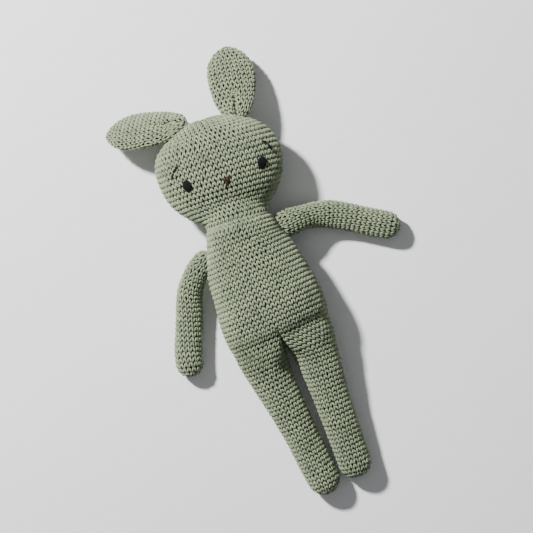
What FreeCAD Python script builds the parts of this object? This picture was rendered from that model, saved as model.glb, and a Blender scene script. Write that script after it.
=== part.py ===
"""A crocheted rabbit doll, lying on its back, modelled as the pieces that it is made and sewn from.

Every crocheted piece is a hollow cover with loose filling inside it. The arms, the ears and the head are sewn on,
and the legs are worked in one with the trunk, so each of them turns about a rounded end that sits in a shallow cup.
Frame, in millimetres: the origin is on the flat of the back, +Z points out of the belly, +Y towards the head and
+X to the doll's own left.
"""

import FreeCAD, Part
import math
import os

V = FreeCAD.Vector
PARTS_FOLDER = "parts"

# Driving dimensions of the fabric and the clearances
FABRIC = 2.4  # thickness of single-crochet fabric
CLEARANCE = 0.3  # between pieces that move on each other
SLACK = 0.2  # between a cover and the filling inside it
YARN = 0.6  # radius of the sewing yarn
SEAM_WIDTH = 0.7  # width of a round of sewing yarn pulled tight
SEAM_RISE = 0.6  # how far it stands up
FLOSS = 0.45  # radius of the embroidery floss

# Trunk: (y, centre x, half width, centre z, half depth) from the hips up to the neck
TRUNK_SECTIONS = [
    (-38.0, -2.0, 33.6, 22.0, 19.5),
    (-30.0, -1.3, 35.2, 24.6, 23.4),
    (-18.0, -0.7, 35.7, 26.2, 26.6),
    (0.0, -0.1, 33.8, 26.4, 27.0),
    (15.0, 0.0, 31.4, 26.8, 26.0),
    (28.0, 0.3, 27.2, 28.2, 24.4),
    (39.0, 2.5, 23.4, 30.0, 23.4),
]
SECTION_POINTS = 16
BACK_FLAT = 0.0  # height of the flat that the doll rests on

# Head: a wide, flattened ball on a round neck
NECK_PIVOT = V(2.5, 45.0, 30.0)
NECK_BALL = 21.5
NECK_SEAM_RADIUS = 22.4
HEAD_TILT = 6.2  # degrees, clockwise seen from the front
HEAD_RISE = 38.0  # from the neck pivot up to the middle of the head
HEAD_HALF_WIDTH = 41.5
HEAD_HALF_HEIGHT = 35.2
HEAD_HALF_DEPTH = 27.0  # the head is softly filled, so it settles flatter than it is high
HEAD_MIDDLE_Z = HEAD_HALF_DEPTH
NECK_CORE = 7.0
NECK_WRAP = 12.0

# Face, in the head's own right and up directions from the middle of the head
FACE_MIDDLE = 1.5
EYE_SPREAD = 24.9
EYE_RISE = -7.7
EYE_HALF = V(2.6, 4.2, 1.3)
BROW_INNER = (28.3, 4.8)
BROW_TURN = (31.9, 2.9)
BROW_OUTER = (33.0, -2.9)
BROW_GAP = 0.8
NOSE_RISE = -12.6
NOSE_HALF_WIDTH = 2.9
NOSE_HALF_HEIGHT = 2.7
NOSE_STITCH = 0.8

# Ears: a flat leaf shape on a gathered, rounded root
EAR_ROOT = 6.0
EAR_KNOT = 2.2
EAR_LENGTH = 47.5
EAR_HALF_WIDTH = 15.8
EAR_HALF_DEPTH = 5.6
EAR_WIDEST = 27.0  # distance of the widest place from the root
EARS = {
    # side: (pivot, where the tip lies, twist in degrees about the ear's own length)
    "left": (V(31.5, 112.6, 27.0), V(42.3, 153.0, 9.5), 0.0),
    "right": (V(-9.5, 119.2, 27.0), V(-52.0, 131.0, 12.5), 42.0),
}
TUCK_DISTANCE = 9.0
TUCK_HALF_LENGTH = 3.2

# Arms: the middle line from the shoulder to the hand, with the radius at each point
ARM_BALL = 7.6
ARM_KNOT = 2.4
ARM_LINES = {
    "left": [
        (V(31.3, 29.4, 24.0), 6.4),
        (V(40.5, 29.8, 18.4), 7.6),
        (V(50.5, 28.2, 13.2), 8.3),
        (V(61.0, 23.9, 10.2), 8.8),
        (V(71.5, 17.2, 9.4), 9.2),
        (V(82.0, 9.6, 9.4), 9.3),
        (V(91.6, 2.6, 9.4), 9.3),
    ],
    "right": [
        (V(-31.0, 29.4, 24.0), 6.4),
        (V(-38.2, 24.6, 17.8), 7.6),
        (V(-46.0, 14.0, 12.4), 8.3),
        (V(-52.6, 0.6, 9.8), 8.8),
        (V(-58.4, -11.6, 9.4), 9.2),
        (V(-62.4, -20.4, 9.4), 9.3),
        (V(-64.8, -28.0, 9.4), 9.3),
    ],
}

# Legs: straight, turned about the hip
HIP_BALL = 16.0
HIP_KNOB = 6.0
LEG_PROFILE = [(0.0, 16.0), (18.0, 14.3), (38.0, 12.6), (58.0, 11.7), (78.0, 11.3)]  # (distance, radius)
LEGS = {
    "left": (V(15.5, -44.0, 20.0), V(8.3, -130.8, 11.6)),
    "right": (V(-19.5, -44.0, 20.0), V(-14.7, -133.0, 11.6)),
}
LAP_Z = 20.0


def export(name, shape):
    """Writes one node as a STEP file."""
    if not shape.isValid():
        raise RuntimeError(f"{name} isn't a valid shape")
    shape.exportStep(os.path.join(PARTS_FOLDER, f"{name}.step"))
    sizes = ", ".join(f"{solid.Volume / 1000:.4f}" for solid in shape.Solids)
    print(f"{name}: {sizes} cm3")


def ball(centre, radius, pole=V(0, 0, 1)):
    """A sphere about a point, with its pole in a given direction."""
    return Part.makeSphere(radius, centre, pole)


def ellipse(y, centre_x, half_width, centre_z, half_depth):
    """One upright cross-section of the trunk, which starts at the back."""
    points = []
    for step in range(SECTION_POINTS):
        angle = 2 * math.pi * step / SECTION_POINTS
        points.append(V(centre_x + half_width * math.sin(angle), y, centre_z - half_depth * math.cos(angle)))
    outline = Part.BSplineCurve()
    outline.interpolate(Points=points, PeriodicFlag=True)
    return Part.Wire(outline.toShape())


def trunk(inset):
    """The trunk's outer shape without its cups, taken in by an inset on every side."""
    sections = []
    for y, centre_x, half_width, centre_z, half_depth in TRUNK_SECTIONS:
        sections.append(ellipse(y, centre_x, half_width - inset, centre_z, half_depth - inset))
    solid = Part.makeLoft(sections, True, False)
    low = V(-60, TRUNK_SECTIONS[0][0] + max(inset, 0.0), BACK_FLAT + inset)
    high = V(60, TRUNK_SECTIONS[-1][0] - max(inset, 0.0), 80)
    return solid.common(box(low, high))


def stuffed_trunk(inset):
    """The trunk with its cups, where the fabric follows every cup too."""
    reach = CLEARANCE + inset
    cups = [ball(NECK_PIVOT, NECK_BALL + reach), *lap_room(reach)]
    cups += [ball(line[0][0], ARM_BALL + reach) for line in ARM_LINES.values()]
    return trunk(inset).cut(cups)


def box(low, high):
    """A box between two corners."""
    size = high - low
    return Part.makeBox(size.x, size.y, size.z, low)


def lap_room(reach):
    """The space in front of the hips that the legs fill when the doll sits, grown by a reach."""
    room = []
    radius = HIP_BALL + reach
    floor = LAP_Z - reach
    for pivot, _ in LEGS.values():
        room.append(Part.makeCylinder(radius, 80.0, V(pivot.x, pivot.y, floor), V(0, 0, 1)))
        room.append(ball(pivot, radius))
    left, right = LEGS["left"][0], LEGS["right"][0]
    room.append(box(V(right.x, left.y - radius, floor), V(left.x, left.y + radius, 80.0)))
    return room


def head_axes():
    """The head's own right, up and front directions."""
    tilt = math.radians(HEAD_TILT)
    up = V(math.sin(tilt), math.cos(tilt), 0)
    right = V(math.cos(tilt), -math.sin(tilt), 0)
    return right, up, V(0, 0, 1)


def head_middle():
    """The middle of the head's ball."""
    _, up, _ = head_axes()
    middle = NECK_PIVOT + up * HEAD_RISE
    return V(middle.x, middle.y, HEAD_MIDDLE_Z)


def turned_solid(solid, right, up, front, place):
    """A solid made in its own axes, turned so that x, y and z lie along the given directions, then moved."""
    matrix = FreeCAD.Matrix(
        right.x, up.x, front.x, place.x,
        right.y, up.y, front.y, place.y,
        right.z, up.z, front.z, place.z,
        0, 0, 0, 1,
    )
    placed = solid.copy()
    placed.Placement = FreeCAD.Placement(matrix)
    return placed


def ellipsoid(half):
    """A ball stretched to three half sizes, with its poles at the sides."""
    matrix = FreeCAD.Matrix()
    matrix.scale(half.x, half.y, half.z)
    return ball(V(0, 0, 0), 1.0, V(1, 0, 0)).transformGeometry(matrix)


def skull(inset):
    """The head's ball, wider than it is high, laid so that its surface starts away from the ears."""
    right, up, front = head_axes()
    half = V(HEAD_HALF_WIDTH - inset, HEAD_HALF_DEPTH - inset, HEAD_HALF_HEIGHT - inset)
    return turned_solid(ellipsoid(half), right, front, up * -1, head_middle())


def head(inset):
    """The head's ball joined to the round neck under it."""
    return skull(inset).fuse(ball(NECK_PIVOT, NECK_BALL - inset))


def face_point(across, rise):
    """A point on the front of the head, and the outward direction there."""
    right, up, front = head_axes()
    x, y = across / HEAD_HALF_WIDTH, rise / HEAD_HALF_HEIGHT
    z = math.sqrt(1 - x * x - y * y)
    point = head_middle() + right * across + up * rise + front * z * HEAD_HALF_DEPTH
    slope = right * (x / HEAD_HALF_WIDTH) + up * (y / HEAD_HALF_HEIGHT) + front * (z / HEAD_HALF_DEPTH)
    return point, slope.normalize()


def stitch(start, end, radius):
    """One straight stitch of yarn between two points, rounded at its ends."""
    run = end - start
    rod = Part.makeCylinder(radius, run.Length, start, run)
    tip = Part.makeSphere(radius, end, run, 0, 90, 360)
    return rod.fuse([tip, Part.makeSphere(radius, start, run * -1, 0, 90, 360)])


def eye(side, skin):
    """A padded oval of satin stitch, lying on the head."""
    point, outward = face_point(FACE_MIDDLE + side * EYE_SPREAD, EYE_RISE)
    _, up, _ = head_axes()
    right = up.cross(outward).normalize()
    pad = turned_solid(ellipsoid(EYE_HALF), right, outward.cross(right), outward, point)
    return pad.cut(skin)


def eyebrow(side):
    """Two short straight stitches, set round the outside of the eye."""
    corners = []
    for across, rise in (BROW_INNER, BROW_TURN, BROW_OUTER):
        point, outward = face_point(FACE_MIDDLE + side * across, rise)
        corners.append(point + outward * (FLOSS + SLACK))
    stitches = []
    for start, end in zip(corners, corners[1:]):
        run = (end - start).normalize()
        stitches.append(stitch(start + run * BROW_GAP, end - run * BROW_GAP, FLOSS))
    return stitches


def nose():
    """A cross stitch."""
    corners = {}
    for x in (-1, 1):
        for y in (-1, 1):
            point, outward = face_point(FACE_MIDDLE + x * NOSE_HALF_WIDTH, NOSE_RISE + y * NOSE_HALF_HEIGHT)
            corners[x, y] = point + outward * (NOSE_STITCH + SLACK)
    falling = stitch(corners[-1, 1], corners[1, -1], NOSE_STITCH)
    rising = stitch(corners[-1, -1], corners[1, 1], NOSE_STITCH)
    return falling.fuse(rising)


def ear_axes(side):
    """The ear's own width, length and face directions."""
    root, tip, twist = EARS[side]
    along = (tip - root).normalize()
    level = along.cross(V(0, 0, 1)).normalize()
    rising = level.cross(along)
    angle = math.radians(twist)
    width = level * -math.cos(angle) + rising * math.sin(angle)
    return width, along, width.cross(along)


def ear(side, inset):
    """A leaf that is round where it is seen flat, flattened in depth, on a ball-shaped root."""
    width, along, face = ear_axes(side)
    widest = EAR_HALF_WIDTH - inset
    root_half = 4.6 - inset * 0.8
    edge = Part.BSplineCurve()
    points = [
        V(root_half, 0, 0),
        V(widest * 0.66, EAR_WIDEST * 0.42, 0),
        V(widest, EAR_WIDEST, 0),
        V(widest * 0.72, EAR_LENGTH * 0.87, 0),
        V(0, EAR_LENGTH - inset, 0),
    ]
    edge.interpolate(Points=points, InitialTangent=V(2, 4, 0), FinalTangent=V(-1, 0, 0))
    foot = Part.makeLine(V(0, 0, 0), V(root_half, 0, 0))
    middle = Part.makeLine(V(0, EAR_LENGTH - inset, 0), V(0, 0, 0))
    leaf = Part.Face(Part.Wire([foot, edge.toShape(), middle])).revolve(V(0, 0, 0), V(0, 1, 0), 360)
    flatten = FreeCAD.Matrix()
    flatten.scale(1.0, 1.0, (EAR_HALF_DEPTH - inset) / widest)
    leaf = turned_solid(leaf.transformGeometry(flatten), width, along, face, EARS[side][0])
    return leaf.fuse(ball(EARS[side][0], EAR_ROOT - inset, along))


def ear_tuck(side, skin):
    """The stitch that pinches the ear's root together in front."""
    width, along, face = ear_axes(side)
    middle = EARS[side][0] + along * TUCK_DISTANCE + face * EAR_HALF_DEPTH * 0.62
    rod = stitch(middle - width * TUCK_HALF_LENGTH, middle + width * TUCK_HALF_LENGTH, YARN)
    outside = rod.cut(skin)
    return max(outside.Solids, key=lambda solid: solid.CenterOfMass.dot(face))


def limb_circle(centre, along, radius):
    """A cross-section of an arm, with its seam at the side so that the sections line up."""
    across = along.cross(V(0, 0, 1)).normalize()
    circle = Part.Wire(Part.makeCircle(radius))
    return turned_solid(circle, across, along.cross(across), along, centre)


def arm(side, inset):
    """A curved, widening tube with a ball at the shoulder and a round hand."""
    line = ARM_LINES[side]
    path = Part.BSplineCurve()
    path.interpolate([point for point, _ in line])
    runs = [path.tangent(path.parameter(point))[0] for point, _ in line]
    sections = [limb_circle(point, run, radius - inset) for (point, radius), run in zip(line, runs)]
    hand_place, hand_radius = line[-1]
    hand = Part.makeSphere(hand_radius - inset, hand_place, runs[-1], 0, 90, 360)
    tube = Part.makeLoft(sections, True, False)
    return tube.fuse([hand, ball(line[0][0], ARM_BALL - inset, runs[0])])


def leg(side, inset):
    """A straight, narrowing tube with a ball at the hip and a round foot, as one turned shape."""
    hip, foot = LEGS[side]
    along = (foot - hip).normalize()
    length = (foot - hip).Length
    last = LEG_PROFILE[-1][1] - inset
    points = [V(radius - inset, distance, 0) for distance, radius in LEG_PROFILE]
    points.append(V(last, length, 0))
    edge = Part.BSplineCurve()
    edge.interpolate(Points=points, InitialTangent=V(0, 1, 0), FinalTangent=V(0, 1, 0))
    top = HIP_BALL - inset
    bow = math.sqrt(0.5)
    top_arc = Part.Arc(V(0, -top, 0), V(top * bow, -top * bow, 0), V(top, 0, 0)).toShape()
    foot_arc = Part.Arc(
        V(last, length, 0), V(last * bow, length + last * bow, 0), V(0, length + last, 0)
    ).toShape()
    axis = Part.makeLine(V(0, length + last, 0), V(0, -top, 0))
    outline = Part.Face(Part.Wire([top_arc, edge.toShape(), foot_arc, axis]))
    across = along.cross(V(0, 0, 1)).normalize()
    return turned_solid(outline.revolve(V(0, 0, 0), V(0, 1, 0), 360), across, along, across.cross(along), hip)


def seam(outside, skin, root, radius):
    """A round of sewing yarn about a limb's root, lying on the fabric that the limb is sewn to."""
    return outside.common(ball(root, radius + SEAM_WIDTH)).cut([ball(root, radius), skin])


def make_trunk():
    """The trunk's cover and filling, with cups for the neck, the shoulders and the hips."""
    export("trunk_cover", stuffed_trunk(0.0).cut(stuffed_trunk(FABRIC)))
    export("trunk_filling", stuffed_trunk(FABRIC + SLACK))


def make_head():
    """The head with its filling, its face and the wad of filling that the neck turns on."""
    skin = head(0.0)
    ear_cups = [ball(root, EAR_ROOT + CLEARANCE) for root, _, _ in EARS.values()]
    core_room = ball(NECK_PIVOT, NECK_WRAP + CLEARANCE)
    export("head_cover", skin.cut(head(FABRIC)).cut(ear_cups))
    export("head_filling", head(FABRIC + SLACK).cut([core_room, *ear_cups]))
    export("neck_filling_core", ball(NECK_PIVOT, NECK_CORE))
    export("neck_filling_wrap", ball(NECK_PIVOT, NECK_WRAP).cut(ball(NECK_PIVOT, NECK_CORE + CLEARANCE)))
    for name, side in (("left", 1), ("right", -1)):
        export(f"{name}_eye", eye(side, skin))
        for place, floss in zip(("inner", "outer"), eyebrow(side)):
            export(f"{name}_brow_{place}_stitch", floss)
    export("nose", nose())


def make_ears():
    """Each ear's cover, filling, tuck stitch and the knot that it hangs on."""
    for side, (root, _, _) in EARS.items():
        skin = ear(side, 0.0)
        export(f"{side}_ear_cover", skin.cut(ear(side, FABRIC)))
        export(f"{side}_ear_filling", ear(side, FABRIC + SLACK).cut(ball(root, EAR_KNOT + CLEARANCE)))
        export(f"{side}_ear_knot", ball(root, EAR_KNOT))
        export(f"{side}_ear_tuck", ear_tuck(side, skin))


def make_arms():
    """Each arm's cover, filling and the knot that it hangs on."""
    for side, line in ARM_LINES.items():
        shoulder = line[0][0]
        export(f"{side}_arm_cover", arm(side, 0.0).cut(arm(side, FABRIC)))
        export(f"{side}_arm_filling", arm(side, FABRIC + SLACK).cut(ball(shoulder, ARM_KNOT + CLEARANCE)))
        export(f"{side}_arm_knot", ball(shoulder, ARM_KNOT))


def make_legs():
    """Each leg's cover, filling and the knob of filling that the hip bends on."""
    for side, (hip, _) in LEGS.items():
        export(f"{side}_leg_cover", leg(side, 0.0).cut(leg(side, FABRIC)))
        export(f"{side}_leg_filling", leg(side, FABRIC + SLACK).cut(ball(hip, HIP_KNOB + CLEARANCE)))
        export(f"{side}_hip_filling", ball(hip, HIP_KNOB))


def make_seams():
    """The rounds of sewing yarn that hold the head, the arms and the ears."""
    rim = V(NECK_PIVOT.x, TRUNK_SECTIONS[-1][0] + YARN, NECK_PIVOT.z)
    export("neck_seam", Part.makeTorus(NECK_SEAM_RADIUS, YARN, rim, V(0, 1, 0)))
    outside, skin = trunk(-SEAM_RISE), trunk(0.0)
    for side, line in ARM_LINES.items():
        export(f"{side}_arm_seam", seam(outside, skin, line[0][0], ARM_BALL + CLEARANCE + SLACK))
    outside, skin = skull(-SEAM_RISE), skull(0.0)
    for side, (root, _, _) in EARS.items():
        export(f"{side}_ear_seam", seam(outside, skin, root, EAR_ROOT + CLEARANCE + SLACK))


def main():
    """Builds every node."""
    os.makedirs(PARTS_FOLDER, exist_ok=True)
    make_trunk()
    make_head()
    make_ears()
    make_arms()
    make_legs()
    make_seams()


main()
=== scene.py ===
"""A crocheted rabbit doll, lying on its back: stuffed covers of single crochet with an embroidered face.

Each cover is built as the real one is: rounds of V-shaped stitches, one by one, over the shape that the
filling gives it. Lengths in the dataclasses are in millimetres; meshes are in metres, in the frame of the
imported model.
"""

import logging
import math
from dataclasses import dataclass, field
from enum import Enum
from typing import Any

import bmesh
import bpy
import numpy as np
from mathutils import Matrix, Vector


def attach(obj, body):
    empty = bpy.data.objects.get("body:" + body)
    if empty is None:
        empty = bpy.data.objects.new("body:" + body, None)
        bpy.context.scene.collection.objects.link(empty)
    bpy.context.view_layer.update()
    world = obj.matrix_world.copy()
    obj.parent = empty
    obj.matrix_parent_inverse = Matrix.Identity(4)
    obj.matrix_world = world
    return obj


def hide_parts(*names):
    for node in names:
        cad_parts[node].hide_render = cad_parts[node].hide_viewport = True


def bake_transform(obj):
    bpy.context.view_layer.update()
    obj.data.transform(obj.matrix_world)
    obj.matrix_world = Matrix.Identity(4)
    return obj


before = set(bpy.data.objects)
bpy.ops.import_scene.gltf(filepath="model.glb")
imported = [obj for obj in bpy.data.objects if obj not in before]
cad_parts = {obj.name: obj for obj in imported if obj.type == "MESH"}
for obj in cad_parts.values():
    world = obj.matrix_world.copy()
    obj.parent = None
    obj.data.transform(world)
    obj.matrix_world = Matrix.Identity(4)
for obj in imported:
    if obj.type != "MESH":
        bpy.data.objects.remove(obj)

log = logging.getLogger("rabbit")
MM = 0.001
AROUND = 144
# Directions round a ring of points, from the back.
ANGLES = np.linspace(0, 2 * np.pi, AROUND, endpoint=False) - np.pi / 2
FLOOR_CLEAR = 1.7
FLOOR_SOFTNESS = 1.6
LUMP_SPACING = 9.0
LUMP_HEIGHT = 0.2
BACK_COLUMNS = 48
STUFFING_DEPTH = 1.7
STUFFING_STEP = 4.0
# A direction that no seam faces, from which the stitches round each seam are counted.
SEAM_START = (0.31, 0.2, 0.93)


class Side(Enum):
    """The doll's own left or right."""

    LEFT = "left"
    RIGHT = "right"

    @property
    def sign(self) -> float:
        """+1 on the doll's left, where X is positive, and -1 on its right."""
        return 1.0 if self is Side.LEFT else -1.0

    def pick(self, left: Any, right: Any) -> Any:
        """The value that belongs to this side."""
        return left if self is Side.LEFT else right


class Growth(Enum):
    """Which way a cover was worked along its form, and so which way its V stitches open."""

    FORWARD = 1.0
    BACKWARD = -1.0


def unit(vector: np.ndarray) -> np.ndarray:
    """A vector, or an array of them, at length 1."""
    return vector / np.maximum(np.linalg.norm(vector, axis=-1, keepdims=True), 1e-9)


def smoothstep(low: float, high: float, value: np.ndarray) -> np.ndarray:
    """0 below low, 1 above high, and a soft rise between them."""
    t = np.clip((np.asarray(value, float) - low) / (high - low), 0.0, 1.0)
    return t * t * (3.0 - 2.0 * t)


def spline(knots: list[float], values: list, at: np.ndarray) -> np.ndarray:
    """A smooth curve through values.

    Args:
        knots: rising positions of the values.
        values: a number or a point for each knot.
        at: where the curve is wanted.

    Returns:
        The curve's value at each position.
    """
    x = np.asarray(knots, float)
    y = np.asarray(values, float).reshape(len(x), -1)
    slope = np.gradient(y, x, axis=0)
    at = np.clip(np.asarray(at, float), x[0], x[-1])
    i = np.clip(np.searchsorted(x, at, side="right") - 1, 0, len(x) - 2)
    h = (x[i + 1] - x[i])[:, None]
    t = (at[:, None] - x[i][:, None]) / h
    a, b = 2 * t**3 - 3 * t**2 + 1, t**3 - 2 * t**2 + t
    c, d = -2 * t**3 + 3 * t**2, t**3 - t**2
    return a * y[i] + b * h * slope[i] + c * y[i + 1] + d * h * slope[i + 1]


def reach(across: np.ndarray, above: np.ndarray, offset: tuple, wide: float, deep: float) -> np.ndarray:
    """How far an ellipse's edge is in each direction.

    Args:
        across: sideways parts of the directions.
        above: upward parts of the directions.
        offset: where the starting point lies from the ellipse's middle, sideways and upwards.
        wide: the ellipse's half width.
        deep: its half depth.

    Returns:
        The distances.
    """
    a = (across / wide) ** 2 + (above / deep) ** 2
    b = 2 * (offset[0] * across / wide**2 + offset[1] * above / deep**2)
    c = (offset[0] / wide) ** 2 + (offset[1] / deep) ** 2 - 1.0
    return (-b + np.sqrt(np.maximum(b * b - 4 * a * c, 0.0))) / (2 * a)


def dome(first: float, last: float, count: int) -> list[tuple[float, float]]:
    """Steps over a rounded end.

    Args:
        first: the first step's angle, in degrees from the end's widest place.
        last: the last step's angle.
        count: number of steps.

    Returns:
        For each step, how far it lies out along the end and how wide the end is there, for a radius of 1.
    """
    return [(math.sin(turn), math.cos(turn)) for turn in np.radians(np.linspace(first, last, count))]


def srgb(code: str) -> tuple[float, float, float, float]:
    """A linear colour from an sRGB hex code.

    Args:
        code: six hex digits.

    Returns:
        Red, green, blue and a full alpha.
    """
    parts = [int(code[k : k + 2], 16) / 255.0 for k in (0, 2, 4)]
    linear = [p / 12.92 if p <= 0.04045 else ((p + 0.055) / 1.055) ** 2.4 for p in parts]
    return (linear[0], linear[1], linear[2], 1.0)


def add_node(tree: bpy.types.NodeTree, kind: str, settings: dict, links: dict) -> bpy.types.Node:
    """Adds one node to a material.

    Args:
        tree: the material's node tree.
        kind: the node's type name, without ShaderNode.
        settings: properties, or input values where the key is an input's name or number.
        links: input name or number to the output socket that feeds it.

    Returns:
        The new node.
    """
    node = tree.nodes.new(f"ShaderNode{kind}")
    for key, value in settings.items():
        if isinstance(key, int) or key in node.inputs:
            node.inputs[key].default_value = value
        else:
            setattr(node, key, value)
    for key, socket in links.items():
        tree.links.new(socket, node.inputs[key])
    return node


def new_material(name: str, inputs: dict) -> tuple[bpy.types.Material, bpy.types.NodeTree, bpy.types.Node]:
    """Starts a material.

    Args:
        name: the material's name.
        inputs: shader input name to its value.

    Returns:
        The material, its node tree and its shader.
    """
    material = bpy.data.materials.new(name)
    material.use_nodes = True
    shader = material.node_tree.nodes["Principled BSDF"]
    for key, value in inputs.items():
        shader.inputs[key].default_value = value
    return material, material.node_tree, shader


def grained(name: str, inputs: dict, noise: dict, colours: tuple, relief: dict) -> bpy.types.Material:
    """A material whose colour and relief both follow one noise.

    Args:
        name: the material's name.
        inputs: shader input name to its value.
        noise: the noise's settings.
        colours: hex codes where the noise is low and high.
        relief: the bump's settings.

    Returns:
        The material.
    """
    material, tree, shader = new_material(name, inputs)
    place = add_node(tree, "TexCoord", {}, {})
    grain = add_node(tree, "TexNoise", noise, {"Vector": place.outputs["Object"]}).outputs["Fac"]
    low, high = (srgb(code) for code in colours)
    colour = add_node(tree, "Mix", {"data_type": "RGBA", 6: low, 7: high}, {0: grain})
    tree.links.new(colour.outputs[2], shader.inputs["Base Color"])
    bump = add_node(tree, "Bump", relief, {"Height": grain})
    tree.links.new(bump.outputs["Normal"], shader.inputs["Normal"])
    return material


# ---------------------------------------------------------------- finishes


@dataclass(frozen=True)
class CottonYarn:
    """Combed cotton yarn, plied and unmercerised: matte, with a faint nap of loose fibres."""

    name: str = "combed_cotton_yarn"
    light: str = "A6B38D"
    dark: str = "65725A"
    # Dark crevice colour, painted into the yarn where the stitches lie in shade.
    painted_crevice_shade: str = "343C28"
    ply_pitch_mm: float = 1.3
    fibre_mm: float = 0.3
    blotch_mm: float = 16.0
    groove_mm: float = 0.18
    nap_mm: float = 0.1
    tone_share: float = 0.5
    cloud: tuple = (0.5, -0.3)
    # Share of the colour that follows the plies: a painted highlight on their tops and painted shade in their
    # grooves.
    painted_ply_light_share: float = 0.6
    has_stitches: bool = True

    def material(self) -> bpy.types.Material:
        """Builds the yarn's material, with its plies laid along each strand.

        Returns:
            The material.
        """
        material, tree, shader = new_material(
            self.name,
            {"Roughness": 0.9, "Specular IOR Level": 0.25, "Sheen Weight": 0.22, "Sheen Roughness": 0.55},
        )
        place = {"Vector": add_node(tree, "TexCoord", {}, {}).outputs["Object"]}
        fine = {"Scale": 1.0 / (self.fibre_mm * MM), "Detail": 3.0, "Roughness": 0.6}
        fibres = add_node(tree, "TexNoise", fine, place).outputs["Fac"]
        broad = {"Scale": 1.0 / (self.blotch_mm * MM), "Detail": 2.0}
        blotches = add_node(tree, "TexNoise", broad, place).outputs["Fac"]
        if self.has_stitches:
            tone = add_node(tree, "Attribute", {"attribute_name": "tone"}, {}).outputs["Fac"]
            ply_at = add_node(tree, "UVMap", {"uv_map": "Yarn"}, {}).outputs["UV"]
            # Two plies wind round the strand, so the grooves run slantwise across it.
            bands = {"bands_direction": "DIAGONAL", "Scale": 2.0 / self.ply_pitch_mm, "Distortion": 1.2}
            plies = add_node(tree, "TexWave", {**bands, "Detail": 2.0}, {"Vector": ply_at}).outputs["Fac"]
        else:
            tone, plies = blotches, fibres
        add = {"operation": "MULTIPLY_ADD"}
        cloud = add_node(tree, "Math", {**add, 1: self.cloud[0], 2: self.cloud[1]}, {0: blotches})
        uneven = add_node(tree, "Math", {**add, 1: self.tone_share}, {0: tone, 2: cloud.outputs[0]})
        # Painted highlight and painted shade: the tops of the plies are painted lighter and the grooves
        # darker, so the yarn looks speckled.
        painted_ply_light = {**add, 1: self.painted_ply_light_share, "use_clamp": True}
        tone_and_painted_ply_light = add_node(tree, "Math", painted_ply_light, {0: plies, 2: uneven.outputs[0]})
        mix = {"data_type": "RGBA"}
        shades = {**mix, 6: srgb(self.dark), 7: srgb(self.light)}
        colour = add_node(tree, "Mix", shades, {0: tone_and_painted_ply_light.outputs[0]}).outputs[2]
        if self.has_stitches:
            # Painted shade: where the depth attribute is low, at the strands' low ends and over the backing,
            # the colour is mixed towards the dark crevice colour in place of the shade between the stitches.
            depth = add_node(tree, "Attribute", {"attribute_name": "depth"}, {}).outputs["Fac"]
            colour = add_node(tree, "Mix", {**mix, 6: srgb(self.painted_crevice_shade)}, {0: depth, 7: colour}).outputs[2]
        tree.links.new(colour, shader.inputs["Base Color"])
        normal = None
        for height, strength, raised in ((plies, 0.55, self.groove_mm), (fibres, 0.5, self.nap_mm)):
            links = {"Height": height, "Normal": normal} if normal else {"Height": height}
            relief = {"Strength": strength, "Distance": raised * MM}
            normal = add_node(tree, "Bump", relief, links).outputs["Normal"]
        tree.links.new(normal, shader.inputs["Normal"])
        return material


@dataclass(frozen=True)
class EmbroideryFloss:
    """Stranded cotton floss, mercerised: smoother than the crochet yarn, with a soft lengthwise sheen."""

    name: str
    thread: str
    worn: str
    strand_mm: float = 0.35
    relief_mm: float = 0.12

    def material(self) -> bpy.types.Material:
        """Builds the floss's material, with fine strands that show as a broken grain.

        Returns:
            The material.
        """
        return grained(
            self.name,
            {"Roughness": 0.8, "Specular IOR Level": 0.25},
            {"Scale": 1.0 / (self.strand_mm * MM), "Detail": 2.0, "Roughness": 0.6},
            (self.thread, self.worn),
            {"Strength": 0.6, "Distance": self.relief_mm * MM},
        )


@dataclass(frozen=True)
class PolyesterFilling:
    """Carded polyester fibre: white, matte and woolly."""

    name: str = "carded_polyester_fibre"
    bright: str = "F2F2EE"
    shaded: str = "CFCFC9"
    tuft_mm: float = 3.0
    relief_mm: float = 1.0

    def material(self) -> bpy.types.Material:
        """Builds the filling's material, with tufts and loose fibres.

        Returns:
            The material.
        """
        return grained(
            self.name,
            {"Roughness": 0.95, "Sheen Weight": 0.4},
            {"Scale": 1.0 / (self.tuft_mm * MM), "Detail": 6.0, "Distortion": 1.5},
            (self.shaded, self.bright),
            {"Strength": 0.8, "Distance": self.relief_mm * MM},
        )


@dataclass(frozen=True)
class PaintedBoard:
    """The pale painted board under the doll: satin, with a barely raised grain."""

    name: str = "pale_painted_board"
    paint: str = "FAFAFB"
    grain: str = "F2F2F4"
    stretch: tuple = (4.0, 90.0, 4.0)
    turn: float = 0.42

    def material(self) -> bpy.types.Material:
        """Builds the board's material.

        Returns:
            The material.
        """
        material, tree, shader = new_material(self.name, {"Roughness": 0.6})
        place = add_node(tree, "TexCoord", {}, {}).outputs["Object"]
        laid = {"Scale": self.stretch, "Rotation": (0.0, 0.0, self.turn)}
        along = add_node(tree, "Mapping", laid, {"Vector": place}).outputs["Vector"]
        lines = add_node(tree, "TexNoise", {"Scale": 3.0, "Detail": 4.0}, {"Vector": along}).outputs["Fac"]
        ends = {"data_type": "RGBA", 6: srgb(self.grain), 7: srgb(self.paint)}
        colour = add_node(tree, "Mix", ends, {0: lines})
        tree.links.new(colour.outputs[2], shader.inputs["Base Color"])
        return material


# ---------------------------------------------------------------- fabric


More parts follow.
